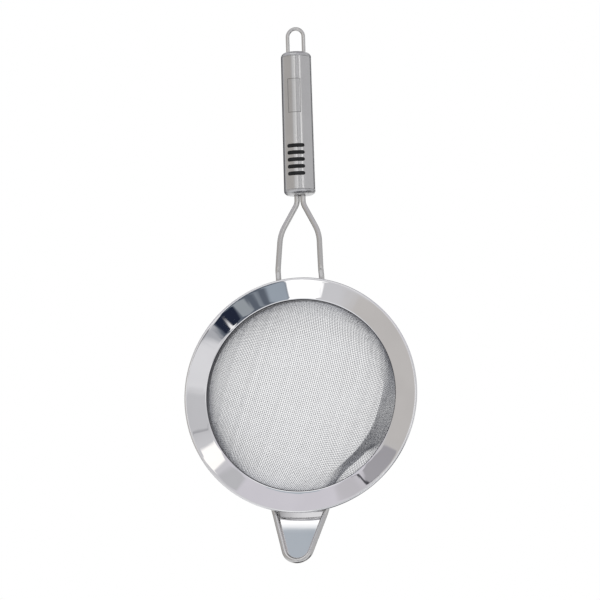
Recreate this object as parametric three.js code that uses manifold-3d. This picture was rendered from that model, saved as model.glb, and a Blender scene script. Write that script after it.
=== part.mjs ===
// Fine-mesh strainer with a wide rim, a tube handle on two bent wires, a hanging loop and a rest hook.
// Millimetres. It hangs by its loop: +Z runs up the handle, the bowl opens towards -Y, and the origin is
// the highest point inside the loop, where a peg bears.
import * as THREE from "three";
import { mergeVertices } from "three/addons/utils/BufferGeometryUtils.js";
import Module from "manifold-3d";

const wasm = await Module();
wasm.setup();

// ---- Driving dimensions ----

const FIT_GAP = 0.3; // left between two pieces that touch

const RIM_RADIUS = 60; // outside of the hem
const OPENING_RADIUS = 48.6; // inside of the collar
const RIM_SHEET = 0.6;
const RIM_DISH = THREE.MathUtils.degToRad(15); // the flange slopes in towards the bowl
const RIM_BEND = 1.2; // visible radius where the flange turns down into the collar
const HEM_RADIUS = 0.9; // curled outer edge
const COLLAR_END = 7.4; // depth of the collar's lower edge below the rim's front

const CLOTH_THICKNESS = 0.5; // two wires of 0.25 on top of each other
const CLOTH_EDGE = 4; // depth of the cloth's edge, behind the flange
const BOWL_DEPTH = 45;
const BOWL_FULLNESS = 2.5; // 2 is an ellipse, more is a fuller bowl
const BAND_THICKNESS = 0.6;
const BAND_HEIGHT = 5;

const WIRE_RADIUS = 1.4; // handle wires and rest hook
const WIRE_DEPTH = 3.6; // depth of the wires' centres where they pass behind the hem
const WIRE_END_DEPTH = 4.3; // and where they end behind the flange
const LOOP_WIRE_RADIUS = 0.95;

const HANDLE_LEAN = THREE.MathUtils.degToRad(8); // the handle tilts forward
const HANDLE_START = new THREE.Vector3(0, 3, 104); // lower end of the handle, from the rim's centre
const HANDLE_LENGTH = 74.6;
const HANDLE_RADIUS_LOW = 8.2;
const HANDLE_RADIUS_HIGH = 7.9;
const TUBE_WALL = 0.7;
const CAP_SHOULDER = 2.5; // rounded edge of the end caps
const CAP_SKIRT = 3.5; // length of the caps inside the tube

const WIRE_HALF_SPACING = 1.55; // handle wires inside the handle
const WIRE_IN_HANDLE = 34;
const LOOP_HALF_WIDTH = 4.2;
const LOOP_HEIGHT = 12.9; // above the handle, to the middle of the wire
const LOOP_IN_HANDLE = 14;

const GRIP_BARS = 5;
const GRIP_START = 10.6; // lowest bar, from the handle's lower end
const GRIP_PITCH = 3.62;
const GRIP_HALF_LENGTH = 4.5; // across the handle
const GRIP_HALF_HEIGHT = 0.95;
const GRIP_PROUD = 0.25;
const GRIP_FOOT_INSIDE = 6.1; // inner radius of the foot behind the slot
const GRIP_FOOT_EDGE = 0.6;

const HOOK_TILT = THREE.MathUtils.degToRad(18); // the rest hook tilts forward
const HOOK_START = -60.2; // height at which it leaves the rim's plane
const HOOK_HALF_WIDTH = 12.7;
const HOOK_LEG_SLOPE = THREE.MathUtils.degToRad(17.3); // its legs draw together
const HOOK_TIP_RADIUS = 6.9;
const HOOK_WIRE_BEHIND_RIM = 9.6; // length of the legs welded behind the rim
const PLATE_THICKNESS = 0.8;
const PLATE_OVERLAP = 3.5; // how far the plate reaches up behind the rim

const RIM_SEGMENTS = 64;
const HANDLE_SEGMENTS = 32;
const WIRE_SIDES = 10;
const WIRE_STEP = 1.3; // distance between sections, in wire radii

// ---- Materials ----

const polishedSteel = new THREE.MeshStandardMaterial({ color: 0xc9c9cc, roughness: 0.08, metalness: 1 });
const brushedSteel = new THREE.MeshStandardMaterial({ color: 0x9c9b99, roughness: 0.38, metalness: 1 });
const drawnWire = new THREE.MeshStandardMaterial({ color: 0x9a9793, roughness: 0.28, metalness: 1 });
const wovenCloth = new THREE.MeshStandardMaterial({ color: 0xc4c8ca, roughness: 0.35, metalness: 1 });
const blackRubber = new THREE.MeshStandardMaterial({ color: 0x1b1c1e, roughness: 0.6, metalness: 0 });

// ---- Shape helpers ----

// Points of an arc in an outline, ends included.
function arc(x, y, radius, from, to, steps) {
  const points = [];
  for (let i = 0; i <= steps; i++) {
    const angle = from + ((to - from) * i) / steps;
    points.push(new THREE.Vector2(x + radius * Math.cos(angle), y + radius * Math.sin(angle)));
  }
  return points;
}

// A ring about Y from the (radius, height) points of its section.
function ring(section, segments) {
  return new THREE.LatheGeometry([...section, section[0].clone()], segments);
}

// A path through corner points, each corner rounded over a length of its own.
function bentPath(corners) {
  const path = new THREE.CurvePath();
  let last = corners[0].at;
  for (let i = 1; i < corners.length - 1; i++) {
    const { at, round } = corners[i];
    const before = at.clone().add(corners[i - 1].at.clone().sub(at).setLength(round));
    const after = at.clone().add(corners[i + 1].at.clone().sub(at).setLength(round));
    path.add(new THREE.LineCurve3(last, before));
    path.add(new THREE.QuadraticBezierCurve3(before, at, after));
    last = after;
  }
  path.add(new THREE.LineCurve3(last, corners.at(-1).at));
  return path;
}

// Round wire along a path.
function wire(path, radius) {
  const section = new THREE.Shape().absarc(0, 0, radius, 0, 2 * Math.PI);
  const steps = Math.round(path.getLength() / (WIRE_STEP * radius));
  // A full circle is divided into twice its curve segments.
  const options = { extrudePath: path, steps, curveSegments: WIRE_SIDES / 2, bevelEnabled: false };
  return new THREE.ExtrudeGeometry(section, options);
}

// A bar with round ends, lying across X, from z = near to z = far.
function roundedBar(halfLength, halfHeight, y, near, far) {
  const reach = halfLength - halfHeight;
  const shape = new THREE.Shape();
  shape.absarc(reach, y, halfHeight, -Math.PI / 2, Math.PI / 2);
  shape.absarc(-reach, y, halfHeight, Math.PI / 2, 1.5 * Math.PI);
  const bar = new THREE.ExtrudeGeometry(shape, { depth: far - near, curveSegments: 3, bevelEnabled: false });
  return bar.translate(0, 0, near);
}

function solidOf(geometry) {
  const bare = geometry.clone();
  bare.deleteAttribute("normal");
  bare.deleteAttribute("uv");
  const merged = mergeVertices(bare, 1e-4);
  const triVerts = new Uint32Array(merged.index.array);
  const vertProperties = merged.attributes.position.array;
  return new wasm.Manifold(new wasm.Mesh({ numProp: 3, vertProperties, triVerts }));
}

function geometryOf(solid) {
  const mesh = solid.getMesh();
  const geometry = new THREE.BufferGeometry();
  geometry.setAttribute("position", new THREE.BufferAttribute(mesh.vertProperties, 3));
  geometry.setIndex(new THREE.BufferAttribute(mesh.triVerts, 1));
  geometry.computeVertexNormals();
  return geometry;
}

function piece(name, geometry, material) {
  const mesh = new THREE.Mesh(geometry, material);
  mesh.name = name;
  return mesh;
}

// ---- Rim: flange, hem and collar pressed from one sheet ----

function rimFlange() {
  const hemX = RIM_RADIUS - HEM_RADIUS;
  const bendX = OPENING_RADIUS + RIM_BEND;
  // The flange's front is the line x sin(dish) + y cos(dish) = front.
  const front = hemX * Math.sin(RIM_DISH);
  const bendY = (front + RIM_BEND - bendX * Math.sin(RIM_DISH)) / Math.cos(RIM_DISH);
  const bendStart = -Math.PI / 2 - RIM_DISH;
  const hemDepth = HEM_RADIUS * Math.cos(RIM_DISH) - RIM_SHEET;
  const hemStart = bendStart - Math.acos(hemDepth / HEM_RADIUS);
  const section = [
    ...arc(hemX, HEM_RADIUS, HEM_RADIUS, -2.5 * Math.PI, hemStart, 9),
    ...arc(bendX, bendY, RIM_BEND - RIM_SHEET, bendStart, -Math.PI, 3),
    new THREE.Vector2(OPENING_RADIUS + RIM_SHEET, COLLAR_END),
    new THREE.Vector2(OPENING_RADIUS, COLLAR_END),
    ...arc(bendX, bendY, RIM_BEND, -Math.PI, bendStart, 4),
  ];
  return ring(section, RIM_SEGMENTS);
}

// ---- Bowl: woven cloth, whose edge stands round the collar ----

const CLOTH_INSIDE = OPENING_RADIUS + RIM_SHEET + FIT_GAP;
const CLOTH_OUTSIDE = CLOTH_INSIDE + CLOTH_THICKNESS;

// Half section of the bowl below the collar, from the collar to the lowest point.
function bowlCurve(radius, depth, steps) {
  const points = [];
  for (let i = 0; i <= steps; i++) {
    const angle = (Math.PI / 2) * (i / steps);
    const across = Math.cos(angle) ** (2 / BOWL_FULLNESS);
    const down = Math.sin(angle) ** (2 / BOWL_FULLNESS);
    const x = i === steps ? 0 : radius * across;
    points.push(new THREE.Vector2(x, COLLAR_END + (depth - COLLAR_END) * down));
  }
  return points;
}

function meshBowl() {
  const steps = 11;
  const section = [
    ...bowlCurve(CLOTH_INSIDE, BOWL_DEPTH - CLOTH_THICKNESS, steps).reverse(),
    new THREE.Vector2(CLOTH_INSIDE, CLOTH_EDGE),
    new THREE.Vector2(CLOTH_OUTSIDE, CLOTH_EDGE),
    ...bowlCurve(CLOTH_OUTSIDE, BOWL_DEPTH, steps),
  ];
  return new THREE.LatheGeometry(section, RIM_SEGMENTS);
}

function clampBand() {
  const inside = CLOTH_OUTSIDE + FIT_GAP;
  const outside = inside + BAND_THICKNESS;
  const end = CLOTH_EDGE + BAND_HEIGHT;
  const section = [
    new THREE.Vector2(inside, CLOTH_EDGE),
    new THREE.Vector2(outside, CLOTH_EDGE),
    new THREE.Vector2(outside, end),
    new THREE.Vector2(inside, end),
  ];
  return ring(section, RIM_SEGMENTS);
}

// ---- Handle frame: local +Y runs up the handle and local +Z faces the front ----

const handle = new THREE.Group();
handle.position.copy(HANDLE_START);
handle.rotation.x = Math.PI / 2 + HANDLE_LEAN;

const handleAxis = new THREE.Vector3(0, -Math.sin(HANDLE_LEAN), Math.cos(HANDLE_LEAN));

function alongHandle(distance, x = 0) {
  return HANDLE_START.clone().addScaledVector(handleAxis, distance).setX(x);
}

function handleRadius(y) {
  return THREE.MathUtils.lerp(HANDLE_RADIUS_LOW, HANDLE_RADIUS_HIGH, y / HANDLE_LENGTH);
}

// ---- Handle wires: from behind the rim, up through a neck, into the handle ----

function handleWire(side) {
  const corner = (x, y, z, round) => ({ at: new THREE.Vector3(side * x, y, z), round });
  const path = bentPath([
    corner(11.4, WIRE_END_DEPTH, 51.4),
    corner(11.3, WIRE_DEPTH, 60, 1.8),
    corner(11.2, 1.5, 64.4, 1.8),
    corner(10.15, 2.4, 83.5, 4.5),
    corner(WIRE_HALF_SPACING, 3.5, 99.7, 2),
    { at: alongHandle(WIRE_IN_HANDLE, side * WIRE_HALF_SPACING) },
  ]);
  return wire(path, WIRE_RADIUS);
}

// ---- Handle tube, its caps and its grip bars ----

function slotAt(bar) {
  return GRIP_START + bar * GRIP_PITCH;
}

function handleTube() {
  const low = CAP_SHOULDER + FIT_GAP;
  const high = HANDLE_LENGTH - CAP_SHOULDER - FIT_GAP;
  const section = [
    new THREE.Vector2(handleRadius(low), low),
    new THREE.Vector2(handleRadius(high), high),
    new THREE.Vector2(handleRadius(high) - TUBE_WALL, high),
    new THREE.Vector2(handleRadius(low) - TUBE_WALL, low),
  ];
  let tube = solidOf(ring(section, HANDLE_SEGMENTS));
  for (let bar = 0; bar < GRIP_BARS; bar++) {
    const halfLength = GRIP_HALF_LENGTH + FIT_GAP;
    const halfHeight = GRIP_HALF_HEIGHT + FIT_GAP;
    const cutter = roundedBar(halfLength, halfHeight, slotAt(bar), 0, HANDLE_RADIUS_LOW + 1);
    tube = tube.subtract(solidOf(cutter));
  }
  return geometryOf(tube);
}

// A pressed cup with a rounded edge, its mouth towards +Y, and a skirt that fits inside the tube.
function capBlank(radius) {
  const skirtOutside = radius - TUBE_WALL - FIT_GAP;
  const skirtInside = skirtOutside - TUBE_WALL;
  const skirtEnd = CAP_SHOULDER + CAP_SKIRT;
  const section = [
    new THREE.Vector2(0, 0),
    ...arc(radius - CAP_SHOULDER, CAP_SHOULDER, CAP_SHOULDER, -Math.PI / 2, 0, 5),
    new THREE.Vector2(skirtOutside, CAP_SHOULDER),
    new THREE.Vector2(skirtOutside, skirtEnd),
    new THREE.Vector2(skirtInside, skirtEnd),
    ...arc(radius - CAP_SHOULDER, CAP_SHOULDER, CAP_SHOULDER - 2 * TUBE_WALL, 0, -Math.PI / 2, 3),
    new THREE.Vector2(0, 2 * TUBE_WALL),
  ];
  return new THREE.LatheGeometry(section, HANDLE_SEGMENTS);
}

function lowerCap() {
  const reach = WIRE_HALF_SPACING + WIRE_RADIUS + FIT_GAP;
  const slot = roundedBar(reach, WIRE_RADIUS + FIT_GAP, 0, -CAP_SHOULDER, CAP_SHOULDER);
  slot.rotateX(Math.PI / 2);
  return geometryOf(solidOf(capBlank(HANDLE_RADIUS_LOW)).subtract(solidOf(slot)));
}

function upperCap() {
  let cap = solidOf(capBlank(HANDLE_RADIUS_HIGH));
  for (const side of [-1, 1]) {
    const drill = new THREE.CylinderGeometry(LOOP_WIRE_RADIUS + FIT_GAP, LOOP_WIRE_RADIUS + FIT_GAP, 20, 20);
    cap = cap.subtract(solidOf(drill.translate(side * LOOP_HALF_WIDTH, 0, 0)));
  }
  return geometryOf(cap).rotateX(Math.PI).translate(0, HANDLE_LENGTH, 0);
}

function gripBar(bar) {
  const y = slotAt(bar);
  const outside = handleRadius(y) + GRIP_PROUD;
  const footOutside = handleRadius(y) - TUBE_WALL - FIT_GAP;
  const sleeve = (radius) => {
    const section = [
      new THREE.Vector2(GRIP_FOOT_INSIDE, y - GRIP_PITCH),
      new THREE.Vector2(radius, y - GRIP_PITCH),
      new THREE.Vector2(radius, y + GRIP_PITCH),
      new THREE.Vector2(GRIP_FOOT_INSIDE, y + GRIP_PITCH),
    ];
    return solidOf(ring(section, HANDLE_SEGMENTS));
  };
  const head = roundedBar(GRIP_HALF_LENGTH, GRIP_HALF_HEIGHT, y, 0, HANDLE_RADIUS_LOW + 1);
  const footHalfLength = GRIP_HALF_LENGTH + GRIP_FOOT_EDGE;
  const footHalfHeight = GRIP_HALF_HEIGHT + GRIP_FOOT_EDGE;
  const foot = roundedBar(footHalfLength, footHalfHeight, y, 0, HANDLE_RADIUS_LOW + 1);
  const headSolid = solidOf(head).intersect(sleeve(outside));
  const footSolid = solidOf(foot).intersect(sleeve(footOutside));
  return geometryOf(headSolid.add(footSolid));
}

function hangLoop() {
  const legEnd = HANDLE_LENGTH - LOOP_IN_HANDLE;
  const bend = HANDLE_LENGTH + LOOP_HEIGHT - LOOP_HALF_WIDTH;
  const kappa = 0.5523; // makes a cubic curve a quarter circle
  const quarter = (side) => {
    const leg = new THREE.Vector3(side * LOOP_HALF_WIDTH, bend, 0);
    const legPull = new THREE.Vector3(side * LOOP_HALF_WIDTH, bend + kappa * LOOP_HALF_WIDTH, 0);
    const topPull = new THREE.Vector3(side * kappa * LOOP_HALF_WIDTH, bend + LOOP_HALF_WIDTH, 0);
    const top = new THREE.Vector3(0, bend + LOOP_HALF_WIDTH, 0);
    return [leg, legPull, topPull, top];
  };
  const path = new THREE.CurvePath();
  path.add(new THREE.LineCurve3(new THREE.Vector3(-LOOP_HALF_WIDTH, legEnd, 0), quarter(-1)[0]));
  path.add(new THREE.CubicBezierCurve3(...quarter(-1)));
  path.add(new THREE.CubicBezierCurve3(...quarter(1).reverse()));
  path.add(new THREE.LineCurve3(quarter(1)[0], new THREE.Vector3(LOOP_HALF_WIDTH, legEnd, 0)));
  return wire(path, LOOP_WIRE_RADIUS);
}

// ---- Rest hook: local +Y runs up the hook, local +Z faces the front, and y = 0 is where it tilts ----

const hook = new THREE.Group();
hook.position.set(0, WIRE_DEPTH, HOOK_START);
hook.rotation.x = Math.PI / 2 - HOOK_TILT;

// The legs run straight down to where they meet the round tip.
const tipStart = -(HOOK_HALF_WIDTH - HOOK_TIP_RADIUS * Math.cos(HOOK_LEG_SLOPE)) / Math.tan(HOOK_LEG_SLOPE);
const tipCentre = tipStart + HOOK_TIP_RADIUS * Math.sin(HOOK_LEG_SLOPE);

function onHook(x, y) {
  const height = HOOK_START + y * Math.cos(HOOK_TILT);
  return new THREE.Vector3(x, WIRE_DEPTH + y * Math.sin(HOOK_TILT), height);
}

function hookWire() {
  const leg = (side) => {
    const spread = Math.tan(HOOK_LEG_SLOPE) * HOOK_WIRE_BEHIND_RIM;
    const endHeight = HOOK_START + HOOK_WIRE_BEHIND_RIM;
    const end = new THREE.Vector3(side * (HOOK_HALF_WIDTH + spread), WIRE_END_DEPTH, endHeight);
    return [end, onHook(side * HOOK_HALF_WIDTH, 0)];
  };
  const tip = [];
  for (let i = 0; i <= 8; i++) {
    const angle = Math.PI + HOOK_LEG_SLOPE + ((Math.PI - 2 * HOOK_LEG_SLOPE) * i) / 8;
    const x = HOOK_TIP_RADIUS * Math.cos(angle);
    tip.push(onHook(x, tipCentre + HOOK_TIP_RADIUS * Math.sin(angle)));
  }
  const corners = [
    { at: leg(-1)[0] },
    { at: leg(-1)[1], round: 1.5 },
    ...tip.map((at) => ({ at, round: 0.9 })),
    { at: leg(1)[1], round: 1.5 },
    { at: leg(1)[0] },
  ];
  return wire(bentPath(corners), WIRE_RADIUS);
}

function restPlate() {
  const topSpread = Math.tan(HOOK_LEG_SLOPE) * PLATE_OVERLAP;
  const outline = new THREE.Shape();
  outline.moveTo(-HOOK_HALF_WIDTH - topSpread, PLATE_OVERLAP);
  outline.lineTo(-HOOK_TIP_RADIUS * Math.cos(HOOK_LEG_SLOPE), tipStart);
  outline.absarc(0, tipCentre, HOOK_TIP_RADIUS, Math.PI + HOOK_LEG_SLOPE, 2 * Math.PI - HOOK_LEG_SLOPE);
  outline.lineTo(HOOK_HALF_WIDTH + topSpread, PLATE_OVERLAP);
  const plate = new THREE.ExtrudeGeometry(outline, {
    depth: PLATE_THICKNESS,
    curveSegments: 8,
    bevelEnabled: false,
  });
  return plate.translate(0, 0, -WIRE_RADIUS - FIT_GAP - PLATE_THICKNESS);
}

// ---- Assembly ----

const strainer = new THREE.Group();
strainer.name = "strainer";

strainer.add(
  piece("rim_flange", rimFlange(), polishedSteel),
  piece("mesh_bowl", meshBowl(), wovenCloth),
  piece("mesh_clamp_band", clampBand(), polishedSteel),
  piece("handle_wire_left", handleWire(-1), drawnWire),
  piece("handle_wire_right", handleWire(1), drawnWire),
  piece("rest_hook_wire", hookWire(), drawnWire),
  handle,
  hook,
);

handle.add(
  piece("handle_tube", handleTube(), brushedSteel),
  piece("lower_end_cap", lowerCap(), brushedSteel),
  piece("upper_end_cap", upperCap(), brushedSteel),
  piece("hang_loop", hangLoop(), drawnWire),
);
for (let bar = 0; bar < GRIP_BARS; bar++) {
  handle.add(piece(`grip_bar_${bar + 1}`, gripBar(bar), blackRubber));
}

hook.add(piece("rest_plate", restPlate(), polishedSteel));

// The origin moves from the rim's centre to the highest point inside the loop.
const hangPoint = alongHandle(HANDLE_LENGTH + LOOP_HEIGHT - LOOP_WIRE_RADIUS);
strainer.position.copy(hangPoint).negate();

const group = new THREE.Group();
group.add(strainer);

export default group;
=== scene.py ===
# Fine-mesh strainer: a wide polished rim, a woven wire bowl, a satin tube handle on two bent wires,
# a hanging loop and a rest hook. Metres; the strainer hangs with the peg at the origin.
import math

import bpy
import numpy as np
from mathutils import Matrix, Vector, noise


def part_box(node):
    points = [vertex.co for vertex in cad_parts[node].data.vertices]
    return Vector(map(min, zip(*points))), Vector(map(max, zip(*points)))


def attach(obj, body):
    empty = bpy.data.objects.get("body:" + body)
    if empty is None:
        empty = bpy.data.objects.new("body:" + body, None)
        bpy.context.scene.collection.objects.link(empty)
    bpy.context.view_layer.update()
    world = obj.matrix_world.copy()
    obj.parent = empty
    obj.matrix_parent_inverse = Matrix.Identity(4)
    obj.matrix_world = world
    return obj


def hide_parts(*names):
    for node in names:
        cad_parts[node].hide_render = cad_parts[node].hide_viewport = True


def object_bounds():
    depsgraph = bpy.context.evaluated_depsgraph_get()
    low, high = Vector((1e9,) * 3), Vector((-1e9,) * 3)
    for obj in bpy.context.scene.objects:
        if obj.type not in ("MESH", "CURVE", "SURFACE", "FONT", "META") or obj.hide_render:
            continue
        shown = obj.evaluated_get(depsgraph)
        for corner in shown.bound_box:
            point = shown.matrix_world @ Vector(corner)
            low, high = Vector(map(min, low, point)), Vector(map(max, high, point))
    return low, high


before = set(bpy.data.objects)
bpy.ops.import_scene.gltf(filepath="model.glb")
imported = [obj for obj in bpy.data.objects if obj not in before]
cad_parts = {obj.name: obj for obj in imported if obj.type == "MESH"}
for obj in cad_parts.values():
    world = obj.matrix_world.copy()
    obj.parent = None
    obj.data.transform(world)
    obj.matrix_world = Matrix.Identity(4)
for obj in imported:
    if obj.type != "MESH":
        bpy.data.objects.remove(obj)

cad_low, cad_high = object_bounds()


# ---- Camera ----
# A long lens, a little below the middle of the strainer and to its right, turned back towards it.

CAMERA_TURN = math.radians(11.84)
CAMERA_RISE = math.radians(11.42)
CAMERA_DISTANCE = 0.832
AIM_OFF_MIDDLE = Vector((-0.0025, 0, -0.0023))

aim = (cad_low + cad_high) / 2 + AIM_OFF_MIDDLE


def direction(turn, rise):
    """The direction out from the strainer, turned to the right of its front and raised."""
    return Vector((math.sin(turn) * math.cos(rise), -math.cos(turn) * math.cos(rise), math.sin(rise)))


bpy.ops.object.camera_add(
    location=aim + CAMERA_DISTANCE * direction(CAMERA_TURN, -CAMERA_RISE),
    rotation=(math.pi / 2 + CAMERA_RISE, 0, CAMERA_TURN),
)
camera = bpy.context.object
camera.data.lens = 96
camera.data.sensor_width = 36
bpy.context.scene.camera = camera
bpy.context.scene.view_settings.view_transform = "Standard"


# ---- Studio ----
# A pale floor well below the strainer, one soft lamp over it, and a white room. Shiny steel mirrors the
# room, so the mirrored room is hung with panels of light and shade, most of them round the camera.

FLOOR_SIZE = 80
FLOOR_DROP = 0.5
ROOM_RIPPLES = 24
ROOM_SWAY = 3.2  # degrees
LAMP_TURN = math.radians(-30)
LAMP_RISE = math.radians(62)
LAMP_DISTANCE = 2.2
LAMP_SIZE = 1.2
LAMP_WATTS = 18

bpy.ops.object.select_all(action="DESELECT")
bpy.ops.mesh.primitive_plane_add(size=FLOOR_SIZE, location=(0, 0, cad_low.z - FLOOR_DROP))
floor = bpy.context.object
floor.name = "studio_floor"
bpy.ops.object.transform_apply(location=True)
paint = bpy.data.materials.new("pale_floor_paint")
paint.use_nodes = True
paint.node_tree.nodes["Principled BSDF"].inputs["Base Color"].default_value = (0.88, 0.88, 0.88, 1)
paint.node_tree.nodes["Principled BSDF"].inputs["Roughness"].default_value = 0.9
floor.data.materials.append(paint)
floor.visible_glossy = False  # polished steel shows the room below it instead


def make_room():
    """The room round the strainer. Its panels are placed by turn to the right of the front and by rise, in
    degrees, and a slight ripple bends their edges, as in hand-buffed steel."""
    room = bpy.data.worlds.new("studio_room")
    bpy.context.scene.world = room
    room.use_nodes = True
    nodes, links = room.node_tree.nodes, room.node_tree.links
    background = nodes["Background"]

    def calculate(operation, first, second=None):
        node = nodes.new("ShaderNodeMath")
        node.operation = operation
        for socket, value in zip(node.inputs, (first, second)):
            if isinstance(value, (int, float)):
                socket.default_value = value
            elif value is not None:
                links.new(value, socket)
        return node.outputs["Value"]

    coordinates = nodes.new("ShaderNodeTexCoord").outputs["Generated"]
    axes = nodes.new("ShaderNodeSeparateXYZ")
    links.new(coordinates, axes.inputs["Vector"])
    to_degrees = 180 / math.pi
    front = calculate("MULTIPLY", axes.outputs["Y"], -1)
    turn = calculate("MULTIPLY", calculate("ARCTAN2", axes.outputs["X"], front), to_degrees)
    rise = calculate("MULTIPLY", calculate("ARCSINE", axes.outputs["Z"]), to_degrees)

    ripple = nodes.new("ShaderNodeTexNoise")
    ripple.inputs["Scale"].default_value = ROOM_RIPPLES
    ripple.inputs["Detail"].default_value = 3
    links.new(coordinates, ripple.inputs["Vector"])
    sway = calculate("MULTIPLY", calculate("SUBTRACT", ripple.outputs["Fac"], 0.5), ROOM_SWAY)
    turn = calculate("ADD", turn, sway)
    rise = calculate("SUBTRACT", rise, sway)

    def within(value, middle, half, edge):
        away = calculate("ABSOLUTE", calculate("SUBTRACT", value, middle))
        ramp = nodes.new("ShaderNodeMapRange")
        ramp.interpolation_type = "SMOOTHSTEP"
        ramp.inputs["From Min"].default_value = half + edge
        ramp.inputs["From Max"].default_value = half - edge
        links.new(away, ramp.inputs["Value"])
        return ramp.outputs["Result"]

    # turn, rise, half width, half height, edge softness, colour; later ones stand in front
    panels = [
        # all round, and straight behind, where turns end at 180 and begin at -180
        (0, 78, 180, 16, 6, (0.34, 0.34, 0.36)),
        (-10, 44, 90, 18, 2, (0.70, 0.68, 0.73)),
        (-62, 3, 37, 19, 3, (0.58, 0.56, 0.545)),
        (-10, -45, 80, 24, 2, (0.86, 0.87, 0.90)),
        (180, 16, 24, 32, 4, (1.05, 1.05, 1.06)),
        (-180, 16, 24, 32, 4, (1.05, 1.05, 1.06)),
        (180, -46, 55, 36, 5, (1.10, 1.10, 1.10)),
        (-180, -46, 55, 36, 5, (1.10, 1.10, 1.10)),
        (150, 10, 12, 32, 4, (0.15, 0.15, 0.16)),
        (-138, 10, 24, 32, 8, (0.15, 0.15, 0.16)),
        (110, -42, 34, 20, 6, (0.12, 0.12, 0.13)),
        (0, -90, 180, 30, 5, (0.05, 0.05, 0.06)),
        # the lights that the handle shows
        (-8, 1, 14, 9, 2.5, (0.86, 0.86, 0.87)),
        (27, 1, 11, 9, 2.5, (0.88, 0.88, 0.90)),
        (-2.5, 1, 1.8, 10, 0.6, (1.6, 1.6, 1.6)),
        (7.2, 1, 1.4, 7, 0.4, (0.25, 0.25, 0.26)),
        (25, 1, 1.8, 10, 0.6, (0.28, 0.28, 0.29)),
        (37, 1, 2.6, 10, 0.8, (1.7, 1.7, 1.7)),
        # round the rim, from its left side upwards
        (14, 0, 5, 8, 0.6, (0.80, 0.80, 0.82)),
        (9.8, -6.4, 1.3, 2.2, 0.9, (0.46, 0.47, 0.50)),
        (14.5, 12.5, 5, 6, 1.6, (0.60, 0.60, 0.62)),
        (13, 16.4, 3, 0.3, 0.2, (0.42, 0.42, 0.44)),
        (0.8, -15, 9.7, 7.2, 0.4, (0.12, 0.14, 0.175)),
        (-6.2, -17.5, 2.6, 3.6, 0.8, (0.36, 0.41, 0.47)),
        (-1.2, -16, 0.7, 2.4, 0.5, (0.24, 0.27, 0.31)),
        (2.9, -13.8, 1.3, 2.4, 0.35, (0.34, 0.37, 0.40)),
        (6.4, -10.6, 2.2, 2.3, 0.3, (0.018, 0.024, 0.045)),
        (8.3, -12.1, 1.2, 1.2, 0.2, (1.0, 1.0, 1.0)),
        (-13.5, -17.5, 4.3, 4.2, 0.35, (1.35, 1.35, 1.35)),
        # and downwards
        (9.8, 22.8, 3.4, 2.3, 0.5, (1.25, 1.22, 1.19)),
        (4.4, 28, 2.6, 2.6, 1.0, (0.56, 0.56, 0.58)),
        (-27.3, 29.6, 2.8, 3.0, 1.4, (0.585, 0.57, 0.60)),
        (-33.3, 24.2, 2.7, 3.6, 0.3, (0.40, 0.39, 0.415)),
        (-30.5, 27.4, 0.22, 3.6, 0.12, (0.06, 0.06, 0.07)),
        # above the rim, shown by the rest plate
        (-15, 40.0, 40, 5, 0.3, (0.47, 0.515, 0.565)),
        (-15, 50, 34, 8.5, 2.5, (1.35, 1.35, 1.35)),
    ]
    colour = nodes.new("ShaderNodeRGB").outputs["Color"]
    colour.default_value = (0.66, 0.66, 0.68, 1)
    for middle_turn, middle_rise, half_width, half_height, edge, shade in panels:
        mask = calculate(
            "MULTIPLY",
            within(turn, middle_turn, half_width, edge),
            within(rise, middle_rise, half_height, edge),
        )
        mix = nodes.new("ShaderNodeMix")
        mix.data_type = "RGBA"
        links.new(mask, mix.inputs["Factor"])
        links.new(colour, mix.inputs["A"])
        mix.inputs["B"].default_value = (*shade, 1)
        colour = mix.outputs["Result"]

    seen = nodes.new("ShaderNodeMix")
    seen.data_type = "RGBA"
    path = nodes.new("ShaderNodeLightPath").outputs
    links.new(calculate("MAXIMUM", path["Is Camera Ray"], path["Is Diffuse Ray"]), seen.inputs["Factor"])
    links.new(colour, seen.inputs["A"])
    seen.inputs["B"].default_value = (1, 1, 1, 1)
    links.new(seen.outputs["Result"], background.inputs["Color"])
    background.inputs["Strength"].default_value = 1


make_room()
lamp_direction = direction(LAMP_TURN, LAMP_RISE)
bpy.ops.object.light_add(type="AREA", location=aim + LAMP_DISTANCE * lamp_direction)
lamp = bpy.context.object
lamp.name = "top_lamp"
lamp.rotation_euler = lamp_direction.to_track_quat("Z", "Y").to_euler()
lamp.data.size = LAMP_SIZE
lamp.data.energy = LAMP_WATTS
lamp.visible_glossy = False  # its outline would show in the steel


# ---- Rim ----
# One sheet of polished stainless steel: a wide flange that slopes in towards the bowl, its outer edge
# curled into a thin hem, its inner edge turned down into a short collar. Pressed, then buffed.

RIGHT = Vector((1, 0, 0))
BACK = Vector((0, 1, 0))
rim_low, rim_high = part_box("rim_flange")
RIM_MIDDLE = Vector((0, rim_low.y, (rim_low.z + rim_high.z) / 2))  # on the plane of the hem's front
RIM_RADIUS = (rim_high.x - rim_low.x) / 2
HEM_RADIUS = 0.0009
RIM_SHEET = 0.0006
RIM_DISH = math.radians(15)
BEND_RADIUS = 0.0012
OPENING_RADIUS = 0.0486
COLLAR_DEPTH = 0.0074
RIM_UNEVENNESS = 0.00004
RIM_WAVES = 28  # in a metre
RIM_STEPS = 256


def arc_points(x, y, radius, start, end, steps):
    """Points of an arc in a section, ends included."""
    angles = [start + (end - start) * i / steps for i in range(steps + 1)]
    return [(x + radius * math.cos(a), y + radius * math.sin(a)) for a in angles]


def straight_points(start, end, steps):
    """Points between two places in a section, the ends left out."""
    shares = [i / steps for i in range(1, steps)]
    return [tuple(a + (b - a) * share for a, b in zip(start, end)) for share in shares]


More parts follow.
